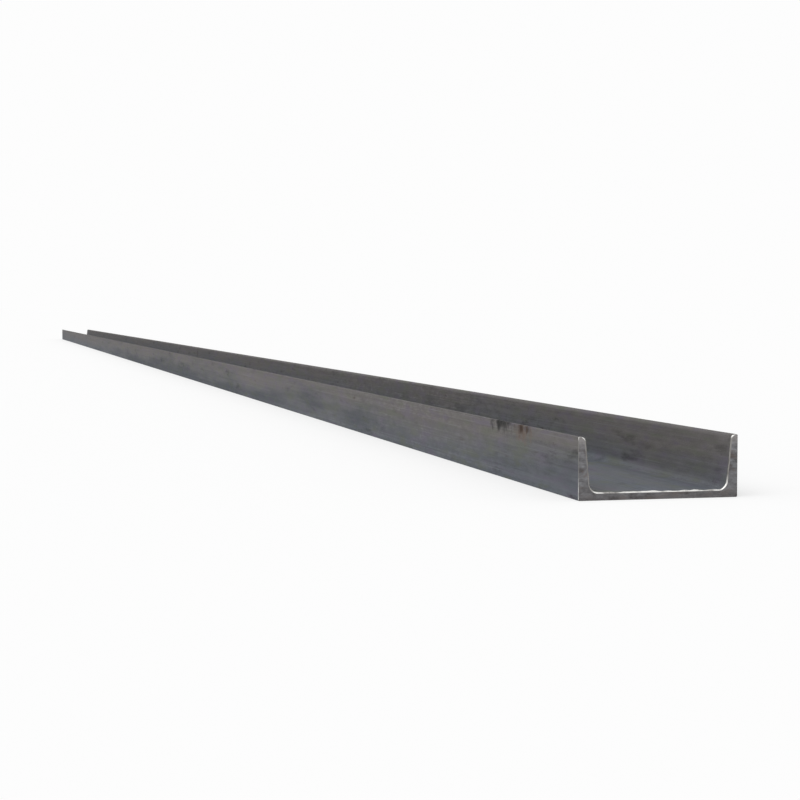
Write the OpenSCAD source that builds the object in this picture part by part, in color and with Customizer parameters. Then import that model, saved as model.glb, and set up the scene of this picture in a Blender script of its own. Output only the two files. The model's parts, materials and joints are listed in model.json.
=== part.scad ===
// Hot-rolled steel channel: one length of stock with a flat web and two tapered flanges.
// The bar lies on the back of its web, with both flanges standing up.
// X runs across the section, Y along the bar and Z up from the back of the web.
// The origin is half-way along the bar, in the middle of the web's back.

/* [Section] */

// Depth of the section, over the outsides of the two flanges
section_depth = 200; // [100:1:400]
// Width of a flange, from the back of the web to the flange's tip
flange_width = 75; // [45:0.5:110]
// Thickness of the web
web_thickness = 9; // [5:0.1:16]
// Mean thickness of a flange, half-way from the web to the tip
flange_thickness = 11; // [7:0.1:20]
// Slope of a flange's inner face, as thickness lost per unit of width
flange_slope = 0.1; // [0.02:0.01:0.16]

/* [Rounding] */

// Radius in the corner between the web and a flange's inner face
root_radius = 11; // [4:0.1:20]
// Radius on the inner corner of a flange's tip
toe_radius = 5.5; // [1:0.1:7]
// Radius on the outer corner of a flange's tip
tip_radius = 1; // [0.5:0.1:2]
// Radius on the outer corner where the web turns into a flange
heel_radius = 1.5; // [0.5:0.1:4]

/* [Length] */

// Length that the bar is sawn to
bar_length = 12000; // [1000:50:12000]

/* [Hidden] */

$fn = 96;

// Colour of dark blue-grey mill scale
MILL_SCALE = [0.34, 0.36, 0.38];

// A flange is thicker by this much at the web, and thinner by it at the tip, than half-way up
flange_taper = flange_slope * (flange_width - web_thickness) / 2;

// Corners of the right-hand flange as [x, z], before any of them is rounded
heel = [section_depth / 2, 0];
tip = [section_depth / 2, flange_width];
toe = [section_depth / 2 - flange_thickness + flange_taper, flange_width];
root = [section_depth / 2 - flange_thickness - flange_taper, web_thickness];

// Directions along the sides of those corners
INWARD = [-1, 0];
OUTWARD = [1, 0];
UP = [0, 1];
DOWN = [0, -1];
inner_face_up = (toe - root) / norm(toe - root);

// Half of the angle between two sides that leave a corner along the unit vectors a and b
function half_angle(a, b) = acos(a * b) / 2;

// How far from the corner an arc of radius r touches the sides a and b
function setback(a, b, r) = r / tan(half_angle(a, b));

// Centre of the arc of radius r that touches both sides of a corner
function arc_centre(corner, a, b, r) = corner + (a + b) / norm(a + b) * r / sin(half_angle(a, b));

// The largest radius up to r whose arc fits in the given room along a side
function fitted(r, a, b, room) = min(r, room * tan(half_angle(a, b)));

// The tip's flat top is shared by two arcs: the outer one may take up to this share of it,
// and the inner one up to this share of what is left
outer_share = 1 / 3;
inner_share = 0.95;
tip_top = tip.x - toe.x;
tip_fit = fitted(tip_radius, INWARD, DOWN, tip_top * outer_share);
toe_fit = fitted(toe_radius, OUTWARD, -inner_face_up, (tip_top - tip_fit) * inner_share);

// An arc crosses the two faces that it joins by this much, so that it always meets them
arc_lap = 0.002;
// A sliver runs this far past the faces of its corner, so that no two edges coincide
sliver_margin = 1;

// The sliver between a sharp corner and the arc that rounds it
module corner_sliver(corner, a, b, r) {
    touch = setback(a, b, r - arc_lap);
    centre = arc_centre(corner, a, b, r - arc_lap);
    spread = 1 + sliver_margin / r;
    difference() {
        translate(centre) scale(spread) translate(-centre)
            polygon([corner, corner + touch * a, centre, corner + touch * b]);
        translate(centre) circle(r);
    }
}

// The room between the flanges, with the root arcs in its lower corners and open at the top
module trough() {
    wall_top = toe + 2 * sliver_margin * inner_face_up;
    difference() {
        polygon([root, wall_top, [-wall_top.x, wall_top.y], [-root.x, root.y]]);
        for (side = [0, 1]) mirror([side, 0])
            corner_sliver(root, INWARD, inner_face_up, root_radius);
    }
}

// The rolled section: a blank with the trough taken out and its outer corners rounded off
module rolled_section() {
    difference() {
        translate([-section_depth / 2, 0]) square([section_depth, flange_width]);
        trough();
        for (side = [0, 1]) mirror([side, 0]) {
            corner_sliver(toe, OUTWARD, -inner_face_up, toe_fit);
            corner_sliver(tip, INWARD, DOWN, tip_fit);
            corner_sliver(heel, INWARD, UP, heel_radius);
        }
    }
}

// The whole bar, rolled along Y and sawn square at both ends
module channel() {
    color(MILL_SCALE)
        rotate([90, 0, 0])
            linear_extrude(bar_length, center = true) rolled_section();
}

channel();
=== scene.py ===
"""A bar of hot-rolled steel channel, lying on the back of its web with its flanges up."""

import json
import math
import random

import bmesh
import bpy
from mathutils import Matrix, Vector, noise


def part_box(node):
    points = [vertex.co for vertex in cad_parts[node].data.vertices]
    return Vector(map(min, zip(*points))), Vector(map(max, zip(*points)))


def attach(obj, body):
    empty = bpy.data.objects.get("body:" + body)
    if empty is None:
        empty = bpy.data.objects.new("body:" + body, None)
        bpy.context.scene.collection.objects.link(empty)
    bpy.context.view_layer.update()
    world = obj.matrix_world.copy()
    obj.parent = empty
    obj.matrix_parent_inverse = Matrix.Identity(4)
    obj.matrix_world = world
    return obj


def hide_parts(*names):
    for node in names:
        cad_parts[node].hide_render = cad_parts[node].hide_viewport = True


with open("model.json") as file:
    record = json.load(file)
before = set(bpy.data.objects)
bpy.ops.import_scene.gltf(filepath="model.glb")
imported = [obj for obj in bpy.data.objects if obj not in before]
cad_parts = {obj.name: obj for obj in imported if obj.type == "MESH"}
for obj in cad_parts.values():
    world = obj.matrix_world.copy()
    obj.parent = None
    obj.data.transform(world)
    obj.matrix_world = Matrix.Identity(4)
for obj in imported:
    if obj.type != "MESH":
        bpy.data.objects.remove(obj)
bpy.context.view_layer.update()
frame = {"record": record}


# The channel bar
# One piece of structural steel, squeezed between shaped rolls at red heat and sawn to length.
# The web is flat, and the flanges thin towards their tips so that the bar leaves the rolls freely.

MM = 0.001
mounts = {mount["name"]: mount for mount in frame["record"]["mounts"]}
bar_low, bar_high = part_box("channel")
front, back = bar_low.y, bar_high.y
half_depth = (bar_high.x - bar_low.x) / 2
flange_width = bar_high.z - bar_low.z
web_thickness = mounts["web_inside"]["pos_m"][2]
flange_thickness = 11 * MM
flange_slope = 0.1
flange_taper = flange_slope * (flange_width - web_thickness) / 2
heel_radius = 1.5 * MM
tip_radius = 1 * MM
toe_radius = 5.5 * MM
root_radius = 11 * MM

# The right-hand flange's corners, going up its outside and down its inside, with the radius of the arc
# that rounds each of them and the number of flats that the arc is drawn with
heel = Vector((half_depth, 0))
tip = Vector((half_depth, flange_width))
toe = Vector((half_depth - flange_thickness + flange_taper, flange_width))
root = Vector((half_depth - flange_thickness - flange_taper, web_thickness))
corners = [heel, tip, toe, root]
radii = [heel_radius, tip_radius, toe_radius, root_radius]
arc_flats = [4, 3, 8, 14]

bar = bmesh.new()
mirrored = [Vector((-corner.x, corner.y)) for corner in reversed(corners)]
outline = [bar.verts.new((corner.x, back, corner.y)) for corner in corners + mirrored]
bar.faces.new(outline)

# Each arc touches both sides of its corner, and like corners of the two flanges are rounded together
neighbours = [mirrored[-1], *corners, mirrored[0]]
for index, (corner, radius, flats) in enumerate(zip(corners, radii, arc_flats)):
    one_side = neighbours[index] - corner
    other_side = neighbours[index + 2] - corner
    bmesh.ops.bevel(
        bar,
        geom=[outline[index], outline[-1 - index]],
        offset=radius / math.tan(one_side.angle(other_side) / 2),
        offset_type="OFFSET",
        segments=flats,
        profile=0.5,
        affect="VERTICES",
        material=-1,
    )

rolled = bmesh.ops.extrude_face_region(bar, geom=bar.faces[:])
rolled_verts = [item for item in rolled["geom"] if isinstance(item, bmesh.types.BMVert)]
bmesh.ops.translate(bar, verts=rolled_verts, vec=(0, front - back, 0))
bmesh.ops.recalc_face_normals(bar, faces=bar.faces[:])

# A face that looks along the bar is a sawn end. The flat faces stay flat, and only the arcs are shaded
# as curves: each of their flats is narrower than any flat face.
# The third material is burred steel, whose brightness is partly a painted highlight
ROLLED, SAWN, BURR_AND_HIGHLIGHT = range(3)
SQUARE_ON = 0.95
widest_arc_flat = 1.7 * MM
for face in bar.faces:
    square_cut = abs(face.normal.y) > SQUARE_ON
    face.material_index = SAWN if square_cut else ROLLED
    face.smooth = not square_cut and face.calc_area() < widest_arc_flat * (back - front)


def sliced(faces, point, direction):
    """Cuts these faces along a plane, and gives the vertices that lie on the cut."""
    # Each edge and vertex is named once, in the same order on every run
    edges = dict.fromkeys(edge for face in faces for edge in face.edges)
    verts = dict.fromkeys(vert for face in faces for vert in face.verts)
    on_plane = 0.01 * MM
    cut = bmesh.ops.bisect_plane(
        bar, geom=[*faces, *edges, *verts], dist=on_plane, plane_co=point, plane_no=direction
    )
    return [item for item in cut["geom_cut"] if isinstance(item, bmesh.types.BMVert)]


# The arris round each sawn end is worn, and it is painted bright, partly as rubbed metal and partly as a
# painted highlight: along the inside, and on the outside only where it meets the rolled skin, but not along
# the edge that lies on the floor
HALF_TURNED = 0.7
arris_width = 0.9 * MM
burr_reach = 3 * MM
for cut in (front + burr_reach, back - burr_reach):
    sliced(bar.faces[:], (0, cut, 0), (0, 1, 0))
arris = bmesh.ops.bevel(
    bar,
    geom=[edge for face in bar.faces if face.material_index == SAWN for edge in face.edges],
    offset=arris_width,
    offset_type="OFFSET",
    segments=2,
    profile=0.5,
    affect="EDGES",
    material=-1,
)
for face in arris["faces"]:
    off_floor = face.calc_center_median().z > arris_width
    face.material_index = BURR_AND_HIGHLIGHT if off_floor and abs(face.normal.y) < HALF_TURNED else SAWN
    face.smooth = True


def depth_in(point):
    """How far a point lies in from the nearer sawn end."""
    return min(point.y - front, back - point.y)


def by_an_end(face):
    """Whether a face lies in the short reach at a sawn end that the blade has marked."""
    return depth_in(face.calc_center_median()) < burr_reach


def in_trough(point):
    """Whether a point on the bar's skin faces the room between the flanges."""
    skin = 1 * MM
    return abs(point.x) < half_depth - skin and skin < point.z < flange_width - skin


# On the trough's side the blade leaves a burr, a thin ragged lip of bright metal that dies out at the toes.
# Its brightness is partly a painted highlight.
burr_pitch = 4 * MM
burr_height = 1.3 * MM
burr_ripple = 9 * MM
ripple_mean, ripple_swing = 0.5, 0.8
lip_start, lip_end = 0.2 * MM, burr_reach / 2
for face in bar.faces:
    on_skin = abs(face.normal.y) < SQUARE_ON and in_trough(face.calc_center_median())
    if on_skin and by_an_end(face):
        face.material_index = BURR_AND_HIGHLIGHT
        face.smooth = True
for axis, reach in ((Vector((1, 0, 0)), half_depth), (Vector((0, 0, 1)), flange_width)):
    steps = math.ceil(reach / burr_pitch)
    for step in range(-steps, steps):
        sliced([face for face in bar.faces if by_an_end(face)], axis * step * burr_pitch, axis)
bar.normal_update()
for vert in bar.verts:
    if lip_start < depth_in(vert.co) < lip_end and in_trough(vert.co):
        ripple = max(0, ripple_mean + ripple_swing * noise.noise(vert.co / burr_ripple))
        fade = min(1, (flange_width - vert.co.z) / toe_radius)
        outwards = Vector((vert.normal.x, 0, vert.normal.z)).normalized()
        vert.co += burr_height * ripple * fade * outwards

# The blade drops through the section, and its teeth leave level lines of uneven depth. Real lines are
# finer and closer together than these, which are drawn coarse enough to show.
saw_pitch = 3 * MM
saw_uneven = 0.3
saw_depth = 0.25 * MM
teeth = random.Random(7)
for outward in (-1, 1):
    level = saw_pitch
    while level < flange_width:
        sawn = [f for f in bar.faces if f.material_index == SAWN and f.normal.y * outward > SQUARE_ON]
        depth = teeth.uniform(0, saw_depth)
        for vert in sliced(sawn, (0, 0, level), (0, 0, 1)):
            vert.co.y -= outward * depth
        level += saw_pitch * teeth.uniform(1 - saw_uneven, 1 + saw_uneven)

# Cross cuts, so that no face is a sliver as long as the bar
cut_pitch = 100 * MM
for cut in range(1, round((back - front) / cut_pitch)):
    sliced(bar.faces[:], (0, front + cut * cut_pitch, 0), (0, 1, 0))

# The skin laid out flat on a map of its own, which an export bakes the patterns through. The long faces
# lie side by side in strips: the web's back and its inside, and then the two faces of each flange. Above
# them lie the two ends, side by side and at a larger scale, with their rims folded out.
skin_map = bar.loops.layers.uv.new("OFBake")
ends_share = 0.2
strip_gap = 4 * MM
rim_spread = 2
rim_width = rim_spread * burr_reach
web_strips, flange_strips = 2, 4
strip_widths = [2 * half_depth] * web_strips + [flange_width] * flange_strips
strip_starts = [sum(strip_widths[:strip]) + strip * strip_gap for strip in range(len(strip_widths))]
strips_width = strip_starts[-1] + strip_widths[-1]
bar.normal_update()
for face in bar.faces:
    middle = face.calc_center_median()
    at_end = by_an_end(face)
    level_face = abs(face.normal.z) > abs(face.normal.x)
    if level_face:
        strip = int(face.normal.z > 0)
    else:
        strip = web_strips + 2 * (middle.x > 0) + (face.normal.x > 0)
    for loop in face.loops:
        spot = loop.vert.co - bar_low
        if at_end:
            folded = spot + rim_spread * depth_in(loop.vert.co) * loop.vert.normal
            u = (folded.x + rim_width) / (2 * half_depth + 2 * rim_width)
            v = (folded.z + rim_width) / (flange_width + 2 * rim_width)
            loop[skin_map].uv = ((u + (middle.y > 0)) / 2, 1 - ends_share * v)
        else:
            across = spot.x if level_face else spot.z
            v = (strip_starts[strip] + across) / strips_width
            loop[skin_map].uv = (spot.y / (back - front), (1 - ends_share) * v)

bar_mesh = bpy.data.meshes.new("channel_bar")
bar.to_mesh(bar_mesh)
bar.free()
channel_bar = bpy.data.objects.new("channel_bar", bar_mesh)
bpy.context.scene.collection.objects.link(channel_bar)


def linear(hex_colour):
    """An sRGB hex colour as linear red, green, blue and alpha."""
    parts = [int(hex_colour[start : start + 2], 16) / 255 for start in (1, 3, 5)]
    return [p / 12.92 if p <= 0.04045 else ((p + 0.055) / 1.055) ** 2.4 for p in parts] + [1.0]


def add(tree, kind, inputs=None, **settings):
    """A node of this kind with its settings, and its inputs given as values or as sockets to link."""
    made = tree.nodes.new(kind)
    for name, value in settings.items():
        setattr(made, name, value)
    for key, value in (inputs or {}).items():
        if isinstance(value, bpy.types.NodeSocket):
            tree.links.new(value, made.inputs[key])
        else:
            made.inputs[key].default_value = value
    return made


def patterned(name, patterns):
    """A new material, and what its looks are drawn from: the place on the bar, the height and the patterns.

    Each pattern has its size across, along and up the bar in millimetres, its detail and its roughness.
    """
    material = bpy.data.materials.new(name)
    material.use_nodes = True
    tree = material.node_tree
    place = add(tree, "ShaderNodeTexCoord").outputs["Object"]
    height = add(tree, "ShaderNodeSeparateXYZ", {0: place}).outputs["Z"]
    field = {"place": place, "height": height}
    for pattern, (size, detail, roughness) in patterns.items():
        scale = [1 / (part * MM) for part in size]
        spread = add(tree, "ShaderNodeMapping", {"Vector": place, "Scale": scale}).outputs[0]
        fuzz = {"Vector": spread, "Scale": 1, "Detail": detail, "Roughness": roughness}
        field[pattern] = add(tree, "ShaderNodeTexNoise", fuzz).outputs["Fac"]
    return material, field


# Places of a colour mix's sockets, where several share a name
FACTOR, FIRST, SECOND, MIXED = 0, 6, 7, 2


def covered(tree, colour, cover, value, edge, full, strength):
    """A colour with a cover over it, from where a value passes the edge to where the cover is full."""
    past = {"Value": value, "From Min": edge, "From Max": full, "To Max": strength}
    mask = add(tree, "ShaderNodeMapRange", past, interpolation_type="SMOOTHSTEP").outputs[0]
    layers = {FACTOR: mask, FIRST: colour, SECOND: cover}
    return add(tree, "ShaderNodeMix", layers, data_type="RGBA").outputs[MIXED]


# Mill scale: the oxide skin that the steel cools under. It is dull and blue-grey with faint temper tints,
# warmer towards the flange tips, drawn out along the bar in streaks, and scuffed, smudged and rusted in
# places. Real grit and scuffs are finer than these, which are drawn coarse enough to show.
cool_scale = linear("#646970")
warm_scale = linear("#6c6968")
temper_violet = linear("#6b6573")
temper_bronze = linear("#666a5e")
# The dark of smudges, and also of the painted shade along the heel
smudge_and_shade = linear("#262626")
scuff = linear("#84868a")
rust = linear("#3b2d25")
rust_bloom = linear("#6d6057")
scale_gleam = linear("#707070")

scale_patterns = {
    "clouds": ((60, 420, 40), 4, 0.6),
    "streaks": ((3, 800, 3), 3, 0.6),
    "mottle": ((9, 30, 9), 5, 0.65),
    "temper": ((30, 70, 14), 4, 0.6),
    "grit": ((2, 3, 2), 2, 0.5),
    "smudges": ((50, 160, 30), 5, 0.65),
    "scuffs": ((1.6, 220, 1.6), 2, 0.5),
    "rust": ((20, 60, 14), 6, 0.7),
    "runs": ((9, 13, 15), 3, 0.55),
}
mill_scale, field = patterned("hot_rolled_mill_scale", scale_patterns)
tree = mill_scale.node_tree
shader = tree.nodes["Principled BSDF"]

# Cool at the heels and warm at the tips, with clouds of both between them
heel_warmth, tip_warmth, cloud_warmth = -0.75, 0.35, 1.6
climb = {"Value": field["height"], "From Max": flange_width, "To Min": heel_warmth, "To Max": tip_warmth}
rise = add(tree, "ShaderNodeMapRange", climb).outputs[0]
patchy = {0: field["clouds"], 1: cloud_warmth, 2: rise}
warmth = add(tree, "ShaderNodeMath", patchy, operation="MULTIPLY_ADD", use_clamp=True).outputs[0]
tints = {FACTOR: warmth, FIRST: cool_scale, SECOND: warm_scale}
colour = add(tree, "ShaderNodeMix", tints, data_type="RGBA").outputs[MIXED]

# Lighter and darker along the streaks and over the mottle, by a factor that is 1 on the average
contrasts = {"clouds": 0.25, "streaks": 0.5, "mottle": 0.65, "grit": 0.25}
tone = 1 - sum(contrasts.values()) / 2
for name, contrast in contrasts.items():
    share = {0: field[name], 1: contrast, 2: tone}
    tone = add(tree, "ShaderNodeMath", share, operation="MULTIPLY_ADD").outputs[0]
colour = add(tree, "ShaderNodeVectorMath", {0: colour, "Scale": tone}, operation="SCALE").outputs[0]

# Where a pattern passes its edge, a colour of its own covers the scale
for name, cover, edge, full, strength in (
    ("temper", temper_violet, 0.5, 0.7, 0.55),
    ("temper", temper_bronze, 0.5, 0.3, 0.55),
    ("smudges", smudge_and_shade, 0.56, 0.74, 0.5),
    ("scuffs", scuff, 0.62, 0.74, 0.35),
    ("rust", rust, 0.6, 0.76, 0.6),
):
    colour = covered(tree, colour, cover, field[name], edge, full, strength)

# Dirt, rust and painted shade on the outside of the left flange. Along its heel it is darkened, partly by
# grime and partly as painted shade from the floor, and near the front end dark patches and rust hang from
# its tip. Each mark has its place along and up the flange, its half length and half height, its colour and
# strength, and the pattern that is added to the distance from its middle, so that its edge comes out torn.
mark_depth = 6 * MM
mark_tear = 3
mark_edge, mark_full = 2.8, 1.6
for along, up, half_length, half_height, cover, strength, tear in (
    # Along the heel: grime, and painted shade from the floor
    (4400 * MM, 0 * MM, 3900 * MM, 50 * MM, smudge_and_shade, 0.34, "clouds"),
    (305 * MM, 75 * MM, 48 * MM, 13 * MM, smudge_and_shade, 0.9, "runs"),
    (215 * MM, 66 * MM, 36 * MM, 14 * MM, rust_bloom, 0.75, "runs"),
    (223 * MM, 69 * MM, 13 * MM, 8 * MM, rust, 0.85, "runs"),
    (196 * MM, 70 * MM, 10 * MM, 7 * MM, rust, 0.7, "runs"),
):
    middle = (-half_depth, front + along, up)
    reach = (mark_depth, half_length, half_height)
    oval = {"Vector": field["place"], "Location": middle, "Scale": reach}
    spot = add(tree, "ShaderNodeMapping", oval, vector_type="TEXTURE").outputs[0]
    off_middle = add(tree, "ShaderNodeVectorMath", {0: spot}, operation="LENGTH").outputs["Value"]
    torn = {0: field[tear], 1: mark_tear, 2: off_middle}
    ragged = add(tree, "ShaderNodeMath", torn, operation="MULTIPLY_ADD").outputs[0]
    colour = covered(tree, colour, cover, ragged, mark_edge, mark_full, strength)

# Noise lies mostly between these two values, and the scale is roughest where its mottle is lightest
noise_low, noise_high = 0.3, 0.7
least_rough, most_rough = 0.62, 0.8
pit_depth = 0.4 * MM
dullness = {
    "Value": field["mottle"],
    "From Min": noise_low,
    "From Max": noise_high,
    "To Min": least_rough,
    "To Max": most_rough,
}
pits = add(tree, "ShaderNodeMath", {0: field["mottle"], 1: field["grit"]}, operation="ADD").outputs[0]
relief = add(tree, "ShaderNodeBump", {"Strength": 0.4, "Distance": pit_depth, "Height": pits})
tree.links.new(colour, shader.inputs["Base Color"])
tree.links.new(add(tree, "ShaderNodeMapRange", dullness).outputs[0], shader.inputs["Roughness"])
tree.links.new(relief.outputs[0], shader.inputs["Normal"])
shader.inputs["Metallic"].default_value = 0.3
shader.inputs["Specular IOR Level"].default_value = 0.1
shader.inputs["Specular Tint"].default_value = scale_gleam

# Sawn steel: cut metal gone dull and brownish grey in blotches, with the blade's level lines across it.
# It is dirtier towards the floor and worn lighter at the flange tips. Real scratches are finer than these,
# which are drawn coarse enough to show.
sawn_light = linear("#808083")
sawn_dark = linear("#474546")
sawn_rust = linear("#5c504a")
sawn_dirt = linear("#423b38")
sawn_worn = linear("#a39e9b")
dirt_height = 22 * MM
worn_height = flange_width - 16 * MM

sawn_patterns = {
    "blotches": ((11, 11, 7), 5, 0.65),
    "lines": ((40, 40, 1.6), 3, 0.6),
    "scratches": ((18, 18, 0.6), 2, 0.5),
    "rust": ((22, 22, 12), 4, 0.65),
}
sawn_steel, field = patterned("sawn_steel", sawn_patterns)
tree = sawn_steel.node_tree
shader = tree.nodes["Principled BSDF"]

streak_share = 0.25
darkest_at, lightest_at = 0.55, 0.95
light = field["blotches"]
for name in ("lines", "scratches"):
    streaky = {0: field[name], 1: streak_share, 2: light}
    light = add(tree, "ShaderNodeMath", streaky, operation="MULTIPLY_ADD").outputs[0]
lightness = {"Value": light, "From Min": darkest_at, "From Max": lightest_at}
light = add(tree, "ShaderNodeMapRange", lightness).outputs[0]
tints = {FACTOR: light, FIRST: sawn_dark, SECOND: sawn_light}
colour = add(tree, "ShaderNodeMix", tints, data_type="RGBA").outputs[MIXED]
for value, cover, edge, full, strength in (
    (field["rust"], sawn_rust, 0.5, 0.7, 0.6),
    (field["height"], sawn_dirt, dirt_height, 0, 0.3),
    (field["height"], sawn_worn, worn_height, flange_width, 0.5),
):
    colour = covered(tree, colour, cover, value, edge, full, strength)

line_depth = 0.3 * MM
relief = add(tree, "ShaderNodeBump", {"Strength": 0.4, "Distance": line_depth, "Height": field["lines"]})
tree.links.new(colour, shader.inputs["Base Color"])
tree.links.new(relief.outputs[0], shader.inputs["Normal"])
shader.inputs["Metallic"].default_value = 0.5
shader.inputs["Roughness"].default_value = 0.55

# Burred steel: metal that the blade has dragged over, with a painted highlight on it. It is painted bright,
# partly as bright burr and partly as a painted highlight, in runs along the web, in the roots and at the
# flanges' tips, and is dull up the flanges.
# Near white: bright burr, and a painted highlight
bright_burr_and_highlight = linear("#e8e7e4")
burr_dull = linear("#7d7a77")
root_bright, root_dull = 14 * MM, 28 * MM
tip_dull, tip_bright = flange_width - 5 * MM, flange_width - 2 * MM

burr_and_highlight_steel, field = patterned("burr_and_highlight_steel", {"runs": ((25, 25, 25), 4, 0.6)})
tree = burr_and_highlight_steel.node_tree
shader = tree.nodes["Principled BSDF"]

dull_run, bright_run = 0.34, 0.52
least_burr_and_highlight = 0.1
glint = {"Value": field["runs"], "From Min": dull_run, "From Max": bright_run}
runs = add(tree, "ShaderNodeMapRange", glint).outputs[0]
bright_by_height = []
for dull_at, bright_at in ((root_dull, root_bright), (tip_dull, tip_bright)):
    climb = {"Value": field["height"], "From Min": dull_at, "From Max": bright_at, "To Min": least_burr_and_highlight}
    bright_by_height.append(add(tree, "ShaderNodeMapRange", climb).outputs[0])
burr_and_highlight_reach = add(tree, "ShaderNodeMath", dict(enumerate(bright_by_height)), operation="MAXIMUM").outputs[0]
bright = add(tree, "ShaderNodeMath", {0: runs, 1: burr_and_highlight_reach}, operation="MULTIPLY").outputs[0]
tints = {FACTOR: bright, FIRST: burr_dull, SECOND: bright_burr_and_highlight}
colour = add(tree, "ShaderNodeMix", tints, data_type="RGBA").outputs[MIXED]
tree.links.new(colour, shader.inputs["Base Color"])
shader.inputs["Metallic"].default_value = 1
shader.inputs["Roughness"].default_value = 0.45

for material in (mill_scale, sawn_steel, burr_and_highlight_steel):
    bar_mesh.materials.append(material)
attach(channel_bar, "root")
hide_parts("channel")


# The floor and the backdrop
# A pale painted floor that runs on into a pale studio wall, as bright as the floor looks,
# so that no line shows between them.

sky_light = 0.75
key_light = 1.2
key_from = Vector((-0.5, -0.4, 0.77)).normalized()
glow_share = 0.6
white = linear("#ffffff")
floor_white = linear("#f5f5f5")
floor_lit = floor_white[0] * (sky_light + key_light * key_from.z / math.pi)
floor_seen = glow_share + (1 - glow_share) * floor_lit

floor_reach = 300
floor_gap = 0.2 * MM
floor_shape = bmesh.new()
bmesh.ops.create_grid(floor_shape, x_segments=1, y_segments=1, size=floor_reach)
bmesh.ops.translate(floor_shape, verts=floor_shape.verts[:], vec=(0, 0, bar_low.z - floor_gap))
floor_mesh = bpy.data.meshes.new("floor")
floor_shape.to_mesh(floor_mesh)
floor_shape.free()
floor = bpy.data.objects.new("floor", floor_mesh)
bpy.context.scene.collection.objects.link(floor)

floor_paint = bpy.data.materials.new("floor_paint")
floor_paint.use_nodes = True
floor_mesh.materials.append(floor_paint)
studio = bpy.data.worlds.new("studio")
studio.use_nodes = True
bpy.context.scene.world = studio

# The camera sees the floor and the wall as white, and so do rays that metal reflects or glass lets through.
# Every other ray meets plain paint and a plain sky, which light the bar at a plain level.
seen = {}
for tree in (floor_paint.node_tree, studio.node_tree):
    tree.nodes.clear()
    rays = add(tree, "ShaderNodeLightPath").outputs
    direct = rays["Is Camera Ray"]
    for other in ("Is Glossy Ray", "Is Transmission Ray"):
        direct = add(tree, "ShaderNodeMath", {0: direct, 1: rays[other]}, operation="MAXIMUM").outputs[0]
    seen[tree] = direct

# The floor glows only in part, and the rest of it is paint that takes the bar's shadow
tree = floor_paint.node_tree
glowing = add(tree, "ShaderNodeMath", {0: seen[tree], 1: glow_share}, operation="MULTIPLY").outputs[0]
paint = add(tree, "ShaderNodeBsdfDiffuse", {"Color": floor_white}).outputs[0]
glow = add(tree, "ShaderNodeEmission", {"Color": white, "Strength": 1}).outputs[0]
surface = add(tree, "ShaderNodeMixShader", {0: glowing, 1: paint, 2: glow}).outputs[0]
add(tree, "ShaderNodeOutputMaterial", {"Surface": surface})

tree = studio.node_tree
levels = {"Value": seen[tree], "To Min": sky_light, "To Max": floor_seen}
strength = add(tree, "ShaderNodeMapRange", levels).outputs[0]
wall = add(tree, "ShaderNodeBackground", {"Color": white, "Strength": strength}).outputs[0]
add(tree, "ShaderNodeOutputWorld", {"Surface": wall})


# The light
# One broad soft source, high up on the near left, even along the whole bar.

key_breadth = math.radians(50)
key_data = bpy.data.lights.new("key", "SUN")
key_data.energy = key_light
key_data.angle = key_breadth
key = bpy.data.objects.new("key", key_data)
key.rotation_mode = "QUATERNION"
key.rotation_quaternion = key_from.to_track_quat("Z", "Y")
bpy.context.scene.collection.objects.link(key)


# The camera
# It stands low down in front of the near end, to the left of the bar, and takes in its whole length.

left_of_bar = 0.686
before_bar = 1.95
eye_height = 0.222
filled_share = 0.86
eye = Vector((bar_low.x - left_of_bar, front - before_bar, eye_height))
to_near_end = (Vector((half_depth, front, flange_width / 2)) - eye).normalized()
to_far_end = (Vector((-half_depth, back, flange_width / 2)) - eye).normalized()
camera_data = bpy.data.cameras.new("camera")
half_view = math.tan(to_near_end.angle(to_far_end) / 2) / filled_share
camera_data.lens = camera_data.sensor_width / 2 / half_view
camera_data.clip_end = 2 * floor_reach
camera = bpy.data.objects.new("camera", camera_data)
camera.location = eye
camera.rotation_mode = "QUATERNION"
camera.rotation_quaternion = (to_near_end + to_far_end).to_track_quat("-Z", "Y")
bpy.context.scene.collection.objects.link(camera)
bpy.context.scene.camera = camera
bpy.context.scene.view_settings.view_transform = "Standard"
